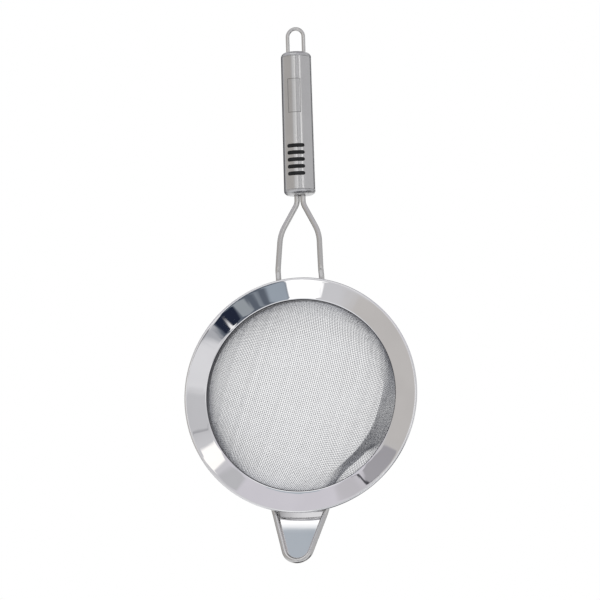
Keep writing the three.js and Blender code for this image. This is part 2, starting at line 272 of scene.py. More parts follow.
def draw_line(name, points):
    """A line drawn point by point, by extruding a single vertex."""
    bpy.ops.object.select_all(action="DESELECT")
    bpy.ops.mesh.primitive_plane_add(size=0.001, location=points[0])
    line = bpy.context.object
    line.name = name
    bpy.ops.object.mode_set(mode="EDIT")
    bpy.ops.mesh.select_mode(type="VERT")
    bpy.ops.mesh.merge(type="CENTER")
    for last, point in zip(points, points[1:]):
        step = {"value": Vector(point) - Vector(last)}
        bpy.ops.mesh.extrude_region_move(TRANSFORM_OT_translate=step)
    bpy.ops.object.mode_set(mode="OBJECT")
    bpy.ops.object.transform_apply(location=True)
    return line


def spin_section(name, section, steps, centre, axis, out, closed):
    """Spins a section of (radius, distance along the axis) points round the axis into a closed skin."""
    outline = [*section, section[0]] if closed else section
    places = [centre + out * radius + axis * along for radius, along in outline]
    turned = draw_line(name, places)
    bpy.ops.object.mode_set(mode="EDIT")
    bpy.ops.mesh.select_all(action="SELECT")
    bpy.ops.mesh.remove_doubles(threshold=1e-7)
    bpy.ops.mesh.spin(steps=steps, angle=2 * math.pi, center=centre, axis=axis)
    bpy.ops.mesh.select_all(action="SELECT")
    bpy.ops.mesh.remove_doubles(threshold=1e-6)
    bpy.ops.mesh.normals_make_consistent(inside=False)
    bpy.ops.object.mode_set(mode="OBJECT")
    return turned


def pick(piece):
    """Selects one piece alone, and makes it the active one."""
    bpy.ops.object.select_all(action="DESELECT")
    piece.select_set(True)
    bpy.context.view_layer.objects.active = piece


def smooth(piece, degrees):
    """Smooth shading, with edges sharper than the angle left crisp."""
    pick(piece)
    bpy.ops.object.shade_smooth_by_angle(angle=math.radians(degrees))


def read_places(piece):
    places = np.empty(len(piece.data.vertices) * 3)
    piece.data.vertices.foreach_get("co", places)
    return places.reshape(-1, 3)


def write_places(piece, places):
    piece.data.vertices.foreach_set("co", places.ravel())
    piece.data.update()


def make_metal(name, colour, roughness, lines, line_depth, smudge=0.12, turn=(0, 0, 0), painted_shade_attribute=None):
    """Bare metal: fine polishing or drawing lines in its roughness and height, and faint smudges. Lines says
    how many there are in a metre along each of the piece's axes, once they are turned. The last argument
    names a vertex attribute that sets how far painted shade darkens the colour."""
    uneven = 0.35
    painted_shade_tone = 0.3
    material = bpy.data.materials.new(name)
    material.use_nodes = True
    nodes, links = material.node_tree.nodes, material.node_tree.links
    surface = nodes["Principled BSDF"]
    surface.inputs["Metallic"].default_value = 1
    place = nodes.new("ShaderNodeTexCoord").outputs["Object"]

    stretch = nodes.new("ShaderNodeMapping")
    stretch.inputs["Rotation"].default_value = turn
    stretch.inputs["Scale"].default_value = lines
    links.new(place, stretch.inputs["Vector"])
    grain = nodes.new("ShaderNodeTexNoise")
    grain.inputs["Scale"].default_value = 1
    grain.inputs["Detail"].default_value = 3
    links.new(stretch.outputs["Vector"], grain.inputs["Vector"])

    cloud = nodes.new("ShaderNodeTexNoise")
    cloud.inputs["Scale"].default_value = 70
    cloud.inputs["Detail"].default_value = 4
    links.new(place, cloud.inputs["Vector"])

    both = nodes.new("ShaderNodeMix")
    both.inputs["Factor"].default_value = 0.4
    links.new(grain.outputs["Fac"], both.inputs["A"])
    links.new(cloud.outputs["Fac"], both.inputs["B"])
    rough = nodes.new("ShaderNodeMapRange")
    rough.inputs["From Min"].default_value = 0.3
    rough.inputs["From Max"].default_value = 0.7
    rough.inputs["To Min"].default_value = roughness * (1 - uneven)
    rough.inputs["To Max"].default_value = roughness * (1 + uneven)
    links.new(both.outputs["Result"], rough.inputs["Value"])
    links.new(rough.outputs["Result"], surface.inputs["Roughness"])

    tone = nodes.new("ShaderNodeValToRGB")
    tone.color_ramp.elements[0].position = 0.3
    tone.color_ramp.elements[1].position = 0.7
    tone.color_ramp.elements[0].color = (*(c * (1 - smudge) for c in colour), 1)
    tone.color_ramp.elements[1].color = (*colour, 1)
    links.new(cloud.outputs["Fac"], tone.inputs["Fac"])
    links.new(tone.outputs["Color"], surface.inputs["Base Color"])
    # painted shade: the colour is darkened as far as the named attribute says
    if painted_shade_attribute:
        amount = nodes.new("ShaderNodeAttribute")
        amount.attribute_name = painted_shade_attribute
        painted_shade = nodes.new("ShaderNodeMix")
        painted_shade.data_type = "RGBA"
        links.new(amount.outputs["Fac"], painted_shade.inputs["Factor"])
        links.new(tone.outputs["Color"], painted_shade.inputs["A"])
        painted_shade.inputs["B"].default_value = (*(c * painted_shade_tone for c in colour), 1)
        links.new(painted_shade.outputs["Result"], surface.inputs["Base Color"])

    bump = nodes.new("ShaderNodeBump")
    bump.inputs["Strength"].default_value = 1
    bump.inputs["Distance"].default_value = line_depth
    links.new(grain.outputs["Fac"], bump.inputs["Height"])
    links.new(bump.outputs["Normal"], surface.inputs["Normal"])
    return material


def press_rim():
    """The rim's section, spun, then given the slight unevenness of a pressed and buffed sheet."""
    hem = RIM_RADIUS - HEM_RADIUS
    bend = OPENING_RADIUS + BEND_RADIUS
    front = hem * math.sin(RIM_DISH)
    bend_depth = (front + BEND_RADIUS - bend * math.sin(RIM_DISH)) / math.cos(RIM_DISH)
    flange_angle = -math.pi / 2 - RIM_DISH
    sheet_in_hem = (HEM_RADIUS * math.cos(RIM_DISH) - RIM_SHEET) / HEM_RADIUS
    hem_end = flange_angle - math.acos(sheet_in_hem)
    curl = arc_points(hem, HEM_RADIUS, HEM_RADIUS, flange_angle - 2 * math.pi, hem_end, 30)
    inner_bend = arc_points(bend, bend_depth, BEND_RADIUS - RIM_SHEET, flange_angle, -math.pi, 8)
    lip = RIM_SHEET / 2
    collar_edge = arc_points(OPENING_RADIUS + lip, COLLAR_DEPTH - lip, lip, 0, math.pi, 8)
    outer_bend = arc_points(bend, bend_depth, BEND_RADIUS, -math.pi, flange_angle, 12)
    section = [
        *curl,
        *straight_points(curl[-1], inner_bend[0], 9),
        *inner_bend,
        *straight_points(inner_bend[-1], collar_edge[0], 3),
        *collar_edge,
        *straight_points(collar_edge[-1], outer_bend[0], 3),
        *outer_bend,
        *straight_points(outer_bend[-1], curl[0], 9),
    ]
    rim = spin_section("rim", section, RIM_STEPS, RIM_MIDDLE, BACK, RIGHT, True)
    places = read_places(rim)
    for place in places:
        spot = Vector((place[0], 0, place[2])) * RIM_WAVES
        place[1] += RIM_UNEVENNESS * noise.noise(spot)
    write_places(rim, places)
    smooth(rim, 50)
    return rim


rim = press_rim()
buffed_steel = make_metal("buffed_steel", (0.85, 0.845, 0.85), 0.02, (700, 700, 700), 0.0000002, 0.05)
rim.data.materials.append(buffed_steel)
# The collar inside the bend is rougher, unbuffed steel; its near-black colour is painted shade, as the
# collar's wall lies in shadow.
rim.data.materials.append(make_metal("unbuffed_steel_painted_shade", (0.17, 0.17, 0.18), 0.3, (400, 3000, 400), 0.000004))
shaded_unbuffed_radius = OPENING_RADIUS + BEND_RADIUS * 0.35  # the buffing wheel reaches a little way into the bend
for face in rim.data.polygons:
    from_middle = face.center - RIM_MIDDLE
    face.material_index = 1 if math.hypot(from_middle.x, from_middle.z) < shaded_unbuffed_radius else 0
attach(rim, "root")
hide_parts("rim_flange")


# ---- Bowl ----
# Plain-woven stainless wire cloth, drawn into a deep bowl, its edge standing up round the collar. Its two
# sets of wires, warp and weft, are two pieces, each wire crimped over and under the ones that it crosses.
# The lower right wall has been knocked in, from the collar down to a crease. Painted shade darkens
# the wires of that wall and of the steepest walls.

cloth_low, cloth_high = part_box("mesh_bowl")
CLOTH_WIRE = 0.000125
CLOTH_PITCH = 0.00102
CLOTH_TURN = math.radians(74)
CLOTH_RADIUS = (cloth_high.x - cloth_low.x) / 2 - 2 * CLOTH_WIRE
CLOTH_EDGE_DEPTH = cloth_low.y - RIM_MIDDLE.y
BOWL_DEPTH = cloth_high.y - RIM_MIDDLE.y - 2 * CLOTH_WIRE
BOWL_FULLNESS = 2.5
WARP_DRIFT = 0.00025
WEFT_DRIFT = 0.00012
DRIFT_WAVES = 0.29  # for each wire
SAG = 0.00035
SAG_WAVES = 45  # in a metre
SAG_START = 0.006
CREASE_DEPTH = 0.0365
CREASE_RADIUS = 0.0338
CREASE_FLARE = 0.0022
CREASE_WIDEST = 0.038
CREASE_BEND = 0.002
DEEPEST_KNOCK = math.radians(-34)
CREASE_START = math.radians(-84)
CREASE_FULL = (math.radians(-58), math.radians(-8))
CREASE_END = math.radians(42)
SHELF_ANGLE = math.radians(-55)
SHELF_SPREAD = math.radians(17)
SHELF_MIDDLE = 0.72  # shares of the way up the knocked wall
SHELF_WIDTH = 0.17
SHELF_LOW_EDGE = 0.62
SHELF_EDGE_WIDTH = 0.12
SHELF_DEPTH = 0.0042
# painted shade: how dark the wires of the knocked wall and of the steep walls are painted, where they fall in
# shade
KNOCK_PAINTED_SHADE = 0.55
KNOCK_SHADE_SPREAD = math.radians(34)
KNOCK_SHADE_EDGE_WIDTH = 0.06
WALL_PAINTED_SHADE = 0.12
STEEP_SLOPE = 0.62
STEEP_RANGE = 0.4


def bowl_profile():
    """Radius and depth of the cloth's middle, by length along it from the lowest point."""
    angles = np.linspace(math.pi / 2, 0, 800)
    power = 2 / BOWL_FULLNESS
    radius = CLOTH_RADIUS * np.maximum(np.cos(angles), 0) ** power
    depth = COLLAR_DEPTH + (BOWL_DEPTH - COLLAR_DEPTH) * np.sin(angles) ** power
    radius = np.append(radius, CLOTH_RADIUS)
    depth = np.append(depth, CLOTH_EDGE_DEPTH)
    length = np.append(0, np.cumsum(np.hypot(np.diff(radius), np.diff(depth))))
    return length, radius, depth


def weave_flat(name, under_first):
    """A flat round of parallel crimped wires: a pair modelled over one crimp, then repeated both ways."""
    length = bowl_profile()[0][-1]
    count = 2 * math.ceil(length / CLOTH_PITCH / 2) + 2
    start = -count * CLOTH_PITCH
    bpy.ops.object.select_all(action="DESELECT")
    for wire in range(2):
        rise = CLOTH_WIRE if (wire == 0) != under_first else -CLOTH_WIRE
        bpy.ops.mesh.primitive_circle_add(
            vertices=5,
            radius=CLOTH_WIRE * 1.1,  # wider, since five sides hold less than a circle
            location=(start, start + wire * CLOTH_PITCH, rise),
            rotation=(0, math.pi / 2, 0),
        )
        bpy.ops.object.mode_set(mode="EDIT")
        for fall in (-2 * rise, 2 * rise):
            step = {"value": (CLOTH_PITCH, 0, fall)}
            bpy.ops.mesh.extrude_region_move(TRANSFORM_OT_translate=step)
        bpy.ops.object.mode_set(mode="OBJECT")
        bpy.ops.object.transform_apply(location=True, rotation=True)
        if wire == 0:
            first = bpy.context.object
    first.select_set(True)
    bpy.context.view_layer.objects.active = first
    bpy.ops.object.join()
    first.name = name
    repeats = [
        ("along", (2 * CLOTH_PITCH, 0, 0), True),
        ("across", (0, 2 * CLOTH_PITCH, 0), False),
    ]
    for label, step, joined in repeats:
        row = first.modifiers.new(label, "ARRAY")
        row.count = count
        row.use_relative_offset = False
        row.use_constant_offset = True
        row.constant_offset_displace = step
        row.use_merge_vertices = joined
        row.merge_threshold = CLOTH_WIRE / 10
        bpy.ops.object.modifier_apply(modifier=label)

    places = read_places(first)
    outside = np.hypot(places[:, 0], places[:, 1]) > length
    bpy.ops.object.mode_set(mode="EDIT")
    bpy.ops.mesh.select_all(action="DESELECT")
    bpy.ops.object.mode_set(mode="OBJECT")
    first.data.vertices.foreach_set("select", outside)
    bpy.ops.object.mode_set(mode="EDIT")
    bpy.ops.mesh.delete(type="VERT")
    bpy.ops.mesh.select_all(action="SELECT")
    bpy.ops.mesh.fill_holes(sides=5)
    bpy.ops.mesh.normals_make_consistent(inside=False)
    bpy.ops.object.mode_set(mode="OBJECT")
    return first


def knock_in(angle, along, r, d, r_slope, d_slope):
    """Moves the knocked part of the cloth's middle onto a flat wall down to the crease, with a shelf near the
    bottom. Gives the new radius, depth and slopes, and the painted shade for the steep and knocked wires."""
    length, radius, depth = bowl_profile()
    around = (angle + math.pi) % (2 * math.pi) - math.pi
    crease = CREASE_RADIUS + CREASE_FLARE * ((around - DEEPEST_KNOCK) / DEEPEST_KNOCK) ** 2
    crease = np.minimum(crease, CREASE_WIDEST)
    start = np.interp(crease + CREASE_BEND, radius[:-1], length[:-1])
    share = np.clip((along - start) / (length[-2] - start), 0, 1)
    on_wall = share > 0
    ramp = np.interp(around, (CREASE_START, *CREASE_FULL, CREASE_END), (0, 1, 1, 0))
    knocked = ramp * ramp * (3 - 2 * ramp) * (d > COLLAR_DEPTH)
    from_shelf = ((around - SHELF_ANGLE) / SHELF_SPREAD) ** 4

    on_shelf = np.clip((share - SHELF_LOW_EDGE) / SHELF_EDGE_WIDTH, 0, 1) * np.exp(-from_shelf)
    # painted shade: deepest in the middle of the knocked wall, less on its shelf, and a little on the steep
    # walls
    knock_painted_shade = KNOCK_PAINTED_SHADE * np.exp(-(((around - DEEPEST_KNOCK) / KNOCK_SHADE_SPREAD) ** 2))
    knock_painted_shade = knock_painted_shade * np.clip(share / KNOCK_SHADE_EDGE_WIDTH, 0, 1) * (1 - on_shelf)
    wall_painted_shade = WALL_PAINTED_SHADE * np.clip((STEEP_SLOPE - r_slope) / STEEP_RANGE, 0, 1)
    painted_shade = wall_painted_shade * (1 - knocked) + knock_painted_shade * knocked

    above = BOWL_DEPTH - np.interp(start, length, depth)
    sunk = BOWL_DEPTH - (BOWL_DEPTH - d) * (BOWL_DEPTH - CREASE_DEPTH) / above
    drawn_in = r * crease / (crease + CREASE_BEND)
    wall_r, wall_d = CLOTH_RADIUS - crease, COLLAR_DEPTH - CREASE_DEPTH
    wall = np.hypot(wall_r, wall_d)
    r = r + (np.where(on_wall, crease + wall_r * share, drawn_in) - r) * knocked
    d = d + (np.where(on_wall, CREASE_DEPTH + wall_d * share, sunk) - d) * knocked
    r = r - SHELF_DEPTH * np.exp(-(((share - SHELF_MIDDLE) / SHELF_WIDTH) ** 2) - from_shelf) * knocked
    r_slope = r_slope + (np.where(on_wall, wall_r / wall, r_slope) - r_slope) * knocked
    d_slope = d_slope + (np.where(on_wall, wall_d / wall, d_slope) - d_slope) * knocked
    return r, d, r_slope, d_slope, painted_shade


def press_into_bowl(cloth, turn, drift):
    """Draws the flat cloth into the bowl, keeping each wire's crimp square to the surface. Drift is how far
    the wires have slid out of their even spacing."""
    length, radius, depth = bowl_profile()
    flat = read_places(cloth)
    wires, wire_of = np.unique(np.round(flat[:, 1] / CLOTH_PITCH), return_inverse=True)
    slid = np.array([noise.noise(Vector((wire * DRIFT_WAVES, turn * 7, 0.5))) for wire in wires])
    flat[:, 1] += drift * slid[wire_of]
    angle = np.arctan2(flat[:, 1], flat[:, 0]) + turn
    along = np.hypot(flat[:, 0], flat[:, 1])
    r, d = np.interp(along, length, radius), np.interp(along, length, depth)
    r_slope = np.interp(along, length, np.gradient(radius, length))
    d_slope = np.interp(along, length, np.gradient(depth, length))
    size = np.hypot(r_slope, d_slope)
    r, d, r_slope, d_slope, painted_shade = knock_in(angle, along, r, d, r_slope / size, d_slope / size)
    # the painted shade is kept on the wires as a vertex attribute, for their steel to darken by
    cloth.data.attributes.new("painted_shade", "FLOAT", "POINT").data.foreach_set("value", painted_shade)

    r = r + flat[:, 2] * d_slope
    d = d - flat[:, 2] * r_slope
    x, z = r * np.cos(angle), r * np.sin(angle)
    free = np.clip((d - COLLAR_DEPTH) / SAG_START, 0, 1)
    dents = np.array([noise.noise(Vector(spot) * SAG_WAVES) for spot in zip(x, d, z)])
    d = d + SAG * free * (dents - 1)
    write_places(cloth, np.column_stack((x, RIM_MIDDLE.y + d, RIM_MIDDLE.z + z)))


warp = weave_flat("bowl_warp_wires", False)
press_into_bowl(warp, CLOTH_TURN, WARP_DRIFT)
weft = weave_flat("bowl_weft_wires", True)
press_into_bowl(weft, CLOTH_TURN + math.pi / 2, WEFT_DRIFT)
# Warp and weft are the same steel: the warp's darker colour is painted shade and the weft's lighter colour is
# painted light.
finishes = [
    (warp, "warp_steel_painted_shade", (0.45, 0.46, 0.485), 0.3),
    (weft, "weft_steel_painted_light", (0.84, 0.85, 0.88), 0.34),
]
for cloth, steel, colour, roughness in finishes:
    smooth(cloth, 180)
    cloth.data.materials.append(
        make_metal(steel, colour, roughness, (500, 500, 500), 0.000002, 0.15, painted_shade_attribute="painted_shade")
    )
    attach(cloth, "root")
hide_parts("mesh_bowl")


# ---- Clamp band ----
# A strip of stainless steel bent into a ring round the cloth's edge, its ends lapped. Spot welds go
# through it, the cloth and the collar, and each leaves a small dimple.

band_low, band_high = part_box("mesh_clamp_band")
BAND_OUTSIDE = (band_high.x - band_low.x) / 2
BAND_SHEET = 0.0006
BAND_TOP = band_low.y - RIM_MIDDLE.y
BAND_BOTTOM = band_high.y - RIM_MIDDLE.y
LAP_PLACE = 0.004
LAP_HALF_LENGTH = 0.0035
LAP_STEP = 0.0002
SPOT_WELDS = 24
SPOT_RADIUS = 0.0011
SPOT_DEPTH = 0.00018
BAND_STEPS = 480


def roll_band():
    """The band's section, spun, then dimpled by the welds, one end lapped over the other at the bottom."""
    edge = BAND_SHEET / 2
    middle = BAND_OUTSIDE - edge
    rounded_top = arc_points(middle, BAND_TOP + edge, edge, -math.pi, 0, 6)
    rounded_bottom = arc_points(middle, BAND_BOTTOM - edge, edge, 0, math.pi, 6)
    outside = straight_points(rounded_top[-1], rounded_bottom[0], 12)
    section = [*rounded_top, *outside, *rounded_bottom]
    band = spin_section("clamp_band", section, BAND_STEPS, RIM_MIDDLE, BACK, RIGHT, True)
    places = read_places(band)
    x, y, z = places[:, 0], places[:, 1] - RIM_MIDDLE.y, places[:, 2] - RIM_MIDDLE.z
    angle, radius = np.arctan2(z, x), np.hypot(x, z)
    pitch = 2 * math.pi / SPOT_WELDS
    sideways = ((angle + pitch / 2) % pitch - pitch / 2) * BAND_OUTSIDE
    away = np.hypot(sideways, y - (BAND_TOP + BAND_BOTTOM) / 2) / SPOT_RADIUS
    dimple = SPOT_DEPTH * np.clip(1 - away**2, 0, 1) * (radius > middle)
    from_lap = np.abs((angle + math.pi / 2) * BAND_OUTSIDE - LAP_PLACE)
    step = LAP_STEP * np.clip((LAP_HALF_LENGTH - from_lap) / LAP_STEP, 0, 1)
    radius = radius - dimple + step - LAP_STEP
    x, z = radius * np.cos(angle), radius * np.sin(angle)
    write_places(band, np.column_stack((x, places[:, 1], RIM_MIDDLE.z + z)))
    smooth(band, 50)
    return band


band = roll_band()
band_steel = make_metal("band_steel", (0.76, 0.75, 0.75), 0.2, (300, 2500, 300), 0.000002, 0.2)
band.data.materials.append(band_steel)
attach(band, "root")
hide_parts("mesh_clamp_band")


# ---- Handle wires ----
# Two bent stainless wires, spot-welded behind the rim. They pass behind its hem, rise as a neck, draw
# together and run side by side up inside the handle.

WIRE_RADIUS = 0.0014
HANDLE_LEAN = math.radians(8)
HANDLE_AXIS = Vector((0, -math.sin(HANDLE_LEAN), math.cos(HANDLE_LEAN)))
HANDLE_TOP = -0.01195 * HANDLE_AXIS  # the handle's middle line passes through the peg, at the origin
HANDLE_LENGTH = 0.0746
HANDLE_START = HANDLE_TOP - HANDLE_LENGTH * HANDLE_AXIS
WIRE_HALF_SPACING = 0.00155
WIRE_IN_HANDLE = 0.034


def from_rim(x, depth, height):
    """A place given from the middle of the rim's front."""
    return RIM_MIDDLE + Vector((x, depth, height))


def rounded_path(corners, step=0.0005):
    """Points along a path whose corners are each (place, length of the rounding)."""
    points = [corners[0][0]]
    for i in range(1, len(corners) - 1):
        place, rounding = corners[i]
        before = place + (corners[i - 1][0] - place).normalized() * rounding
        after = place + (corners[i + 1][0] - place).normalized() * rounding
        count = max(6, round(2 * rounding / step))
        for j in range(count + 1):
            t = j / count
            points.append(before * (1 - t) ** 2 + place * 2 * t * (1 - t) + after * t**2)
    points.append(corners[-1][0])
    return points


def bend_wire(name, points, radius):
    """Round wire with rounded-off ends along a line of points."""
    wire = draw_line(name, points)
    bpy.ops.object.convert(target="CURVE")
    wire = bpy.context.object
    wire.data.bevel_depth = radius
    wire.data.bevel_resolution = 8
    wire.data.use_fill_caps = True
    bpy.ops.object.convert(target="MESH")
    wire = bpy.context.object
    bpy.ops.object.mode_set(mode="EDIT")
    bpy.ops.mesh.select_all(action="SELECT")
    bpy.ops.mesh.remove_doubles(threshold=1e-7)
    bpy.ops.mesh.normals_make_consistent(inside=False)
    bpy.ops.object.mode_set(mode="OBJECT")
    cut_ends = wire.modifiers.new("cut_ends", "BEVEL")
    cut_ends.width = radius * 0.25
    cut_ends.segments = 3
    cut_ends.limit_method = "ANGLE"
    cut_ends.angle_limit = math.radians(60)
    bpy.ops.object.modifier_apply(modifier="cut_ends")
    smooth(wire, 50)
    return wire


wire_steel = make_metal("drawn_wire_steel", (0.64, 0.63, 0.615), 0.17, (900, 900, 120), 0.0000004, 0.08)
for side, label in ((-1, "left"), (1, "right")):
    # from the welded end behind the flange, up past the hem, up the neck, together, and inside the handle
    corners = [
        (from_rim(side * 0.0114, 0.0043, 0.0514), 0),
        (from_rim(side * 0.0113, 0.0036, 0.0600), 0.0018),
        (from_rim(side * 0.0112, 0.0015, 0.0644), 0.0018),
        (from_rim(side * 0.01015, 0.0024, 0.0835), 0.0045),
        (from_rim(side * WIRE_HALF_SPACING, 0.0035, 0.0997), 0.002),
        (HANDLE_START + WIRE_IN_HANDLE * HANDLE_AXIS + Vector((side * WIRE_HALF_SPACING, 0, 0)), 0),
    ]
    wire = bend_wire(f"handle_wire_{label}_bent", rounded_path(corners), WIRE_RADIUS)
    wire.data.materials.append(wire_steel)
    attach(wire, "root")
    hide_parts(f"handle_wire_{label}")


# ---- Handle tube and end caps ----
# A round stainless tube, brushed to a satin finish, with a pressed cup in each end. Five slots hold the
# grip bars, and a plain rectangle for an engraving is outlined on the front.

HANDLE_RADIUS_LOW = 0.0082
HANDLE_RADIUS_HIGH = 0.0079
TUBE_WALL = 0.0007
CAP_SHOULDER = 0.0025
CAP_SHOULDER_END = -0.08  # the angle at which its rounding stops, just short of the tube's side
CAP_SKIRT = 0.0035
CAP_SEAM = 0.00006
CAP_EDGE = 0.0001
CAP_FIT = 0.00005
SLOT_FIT = 0.00006
WIRE_HOLE_FIT = 0.0002
LOOP_HOLE_FIT = 0.00012
TUBE_EDGE = 0.00012
SLOT_CUT = (-0.012, -0.001)  # from well in front of the tube to just short of its middle
MOUTH_CUT = (-0.003, 0.003)
DRILL_LENGTH = 0.02
LOOP_WIRE_RADIUS = 0.00095
LOOP_HALF_WIDTH = 0.0042
GRIP_BARS = 5
GRIP_START = 0.0106
GRIP_PITCH = 0.00362
GRIP_HALF_LENGTH = 0.0045
GRIP_HALF_HEIGHT = 0.00095
PANEL_HALF_WIDTH = 0.0034
PANEL_LOW = 0.0423
PANEL_HIGH = 0.0601
PANEL_LINE = 0.00028
PANEL_DEPTH = 0.00009
PANEL_LIFT = 0.8  # the panel's share of that depth, back up inside its outline
TUBE_STEPS = 192
UP = Vector((0, 0, 1))
ORIGIN = Vector((0, 0, 0))


def handle_radius(height):
    """The tapered tube's outer radius at a height above its lower end."""
    return HANDLE_RADIUS_LOW + (HANDLE_RADIUS_HIGH - HANDLE_RADIUS_LOW) * height / HANDLE_LENGTH


def set_in_handle(piece):
    """Takes a piece modelled upright at the origin to its place in the leaning handle."""
    pick(piece)
    piece.location = HANDLE_START
    piece.rotation_euler = (HANDLE_LEAN, 0, 0)
    bpy.ops.object.transform_apply(location=True, rotation=True)


def rounded_cutter(half_length, half_height, height, near, far):
    """A bar with round ends across X, from y = near to y = far, as a tool for cutting slots."""
    depth = far - near
    bpy.ops.object.select_all(action="DESELECT")
    bpy.ops.mesh.primitive_cube_add(size=1, location=(0, (near + far) / 2, height))
    cutter = bpy.context.object
    cutter.scale = (2 * half_length, depth, 2 * half_height)
    bpy.ops.object.transform_apply(location=True, scale=True)
    bpy.ops.object.mode_set(mode="EDIT")
    bpy.ops.mesh.select_mode(type="EDGE")
    bpy.ops.mesh.select_all(action="DESELECT")
    bpy.ops.object.mode_set(mode="OBJECT")
    for edge in cutter.data.edges:
        a, b = (cutter.data.vertices[i].co for i in edge.vertices)
        edge.select = abs(abs(a.y - b.y) - depth) < 1e-6
    bpy.ops.object.mode_set(mode="EDIT")
    bpy.ops.mesh.bevel(offset=half_height * 0.999, segments=8, affect="EDGES")
    bpy.ops.mesh.select_mode(type="VERT")
    bpy.ops.object.mode_set(mode="OBJECT")
    return cutter


def cut_away(piece, tool):
    """Cuts one closed tool out of a piece, and removes the tool."""
    pick(piece)
    cut = piece.modifiers.new("cut", "BOOLEAN")
    cut.operation = "DIFFERENCE"
    cut.solver = "EXACT"
    cut.object = tool
    bpy.ops.object.modifier_apply(modifier="cut")
    bpy.data.objects.remove(tool)


def select_where(piece, test):
    """Selects a piece's faces by a test of centre and normal, and leaves it in edit mode."""
    pick(piece)
    bpy.ops.object.mode_set(mode="EDIT")
    bpy.ops.mesh.select_mode(type="FACE")
    bpy.ops.mesh.select_all(action="DESELECT")
    bpy.ops.object.mode_set(mode="OBJECT")
    for face in piece.data.polygons:
        face.select = test(face.center, face.normal)
    bpy.ops.object.mode_set(mode="EDIT")


def draw_tube():
    """The tube spun, its front split along the panel's edges, the panel's outline sunk, and its slots cut."""
    low, high = CAP_SHOULDER + CAP_SEAM, HANDLE_LENGTH - CAP_SHOULDER - CAP_SEAM
    section = [
        (handle_radius(low) - TUBE_EDGE, low),
        (handle_radius(low), low + TUBE_EDGE),
        (handle_radius(high), high - TUBE_EDGE),
        (handle_radius(high) - TUBE_EDGE, high),
        (handle_radius(high) - TUBE_WALL, high),
        (handle_radius(low) - TUBE_WALL, low),
    ]
    tube = spin_section("handle_tube_satin", section, TUBE_STEPS, ORIGIN, UP, RIGHT, True)

    def outer_front(centre, normal):
        return normal.y < -0.6 and abs(normal.z) < 0.2

    cuts = [
        ((0, 0, PANEL_LOW), UP),
        ((0, 0, PANEL_HIGH), UP),
        ((-PANEL_HALF_WIDTH, 0, 0), RIGHT),
        ((PANEL_HALF_WIDTH, 0, 0), RIGHT),
    ]
    for place, square_to in cuts:
        select_where(tube, outer_front)
        bpy.ops.mesh.bisect(plane_co=place, plane_no=square_to)
        bpy.ops.object.mode_set(mode="OBJECT")

    def on_panel(centre, normal):
        inside = abs(centre.x) < PANEL_HALF_WIDTH and PANEL_LOW < centre.z < PANEL_HIGH
        return inside and outer_front(centre, normal)

    for steel in (satin_steel, panel_steel, etched_line):
        tube.data.materials.append(steel)
    select_where(tube, on_panel)
    bpy.ops.mesh.extrude_region_shrink_fatten(TRANSFORM_OT_shrink_fatten={"value": -PANEL_DEPTH})
    tube.active_material_index = 2
    bpy.ops.object.material_slot_assign()
    bpy.ops.mesh.inset(thickness=PANEL_LINE)
    bpy.ops.mesh.extrude_region_shrink_fatten(TRANSFORM_OT_shrink_fatten={"value": PANEL_DEPTH * PANEL_LIFT})
    tube.active_material_index = 1
    bpy.ops.object.material_slot_assign()
    bpy.ops.object.mode_set(mode="OBJECT")

    for bar in range(GRIP_BARS):
        height = GRIP_START + bar * GRIP_PITCH
        half_length, half_height = GRIP_HALF_LENGTH + SLOT_FIT, GRIP_HALF_HEIGHT + SLOT_FIT
        cut_away(tube, rounded_cutter(half_length, half_height, height, *SLOT_CUT))
    smooth(tube, 30)
    set_in_handle(tube)
    return tube


def press_cap(name, radius):
    """A pressed cup standing on its rounded end, with a skirt that fits inside the tube."""
    skirt = radius - TUBE_WALL - CAP_FIT
    inside = skirt - TUBE_WALL
    skirt_end = CAP_SHOULDER + CAP_SKIRT
    middle = radius - CAP_SHOULDER
    shoulder = arc_points(middle, CAP_SHOULDER, CAP_SHOULDER, -math.pi / 2, CAP_SHOULDER_END, 14)
    inner_shoulder = CAP_SHOULDER - 2 * TUBE_WALL
    hollow = arc_points(inside - inner_shoulder, CAP_SHOULDER, inner_shoulder, 0, -math.pi / 2, 8)
    section = [
        (0, 0),
        *shoulder,
        (radius - CAP_EDGE, CAP_SHOULDER),
        (skirt, CAP_SHOULDER),
        (skirt, skirt_end),
        (inside, skirt_end),
        *hollow,
        (0, hollow[-1][1]),
    ]
    return spin_section(name, section, TUBE_STEPS, ORIGIN, UP, RIGHT, False)


LEAN_TURN = (-HANDLE_LEAN, 0, 0)
satin_steel = make_metal("satin_steel", (0.63, 0.625, 0.62), 0.2, (50, 50, 3600), 0.0000035, 0.08, LEAN_TURN)
panel_steel = make_metal("panel_steel", (0.60, 0.595, 0.59), 0.24, (50, 50, 3600), 0.0000035, 0.05, LEAN_TURN)
etched_line = make_metal("etched_line", (0.30, 0.295, 0.29), 0.4, (2500, 2500, 2500), 0.000003, 0.2)
cap_steel = make_metal("cap_steel", (0.60, 0.60, 0.60), 0.34, (400, 400, 400), 0.000001, 0.08)
tube = draw_tube()
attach(tube, "root")
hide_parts("handle_tube")

lower_cap = press_cap("lower_cap_pressed", HANDLE_RADIUS_LOW)
wire_hole = WIRE_RADIUS + WIRE_HOLE_FIT
mouth = rounded_cutter(WIRE_HALF_SPACING + wire_hole, wire_hole, 0, *MOUTH_CUT)
mouth.rotation_euler = (math.pi / 2, 0, 0)
bpy.ops.object.transform_apply(rotation=True)
cut_away(lower_cap, mouth)
smooth(lower_cap, 40)
set_in_handle(lower_cap)

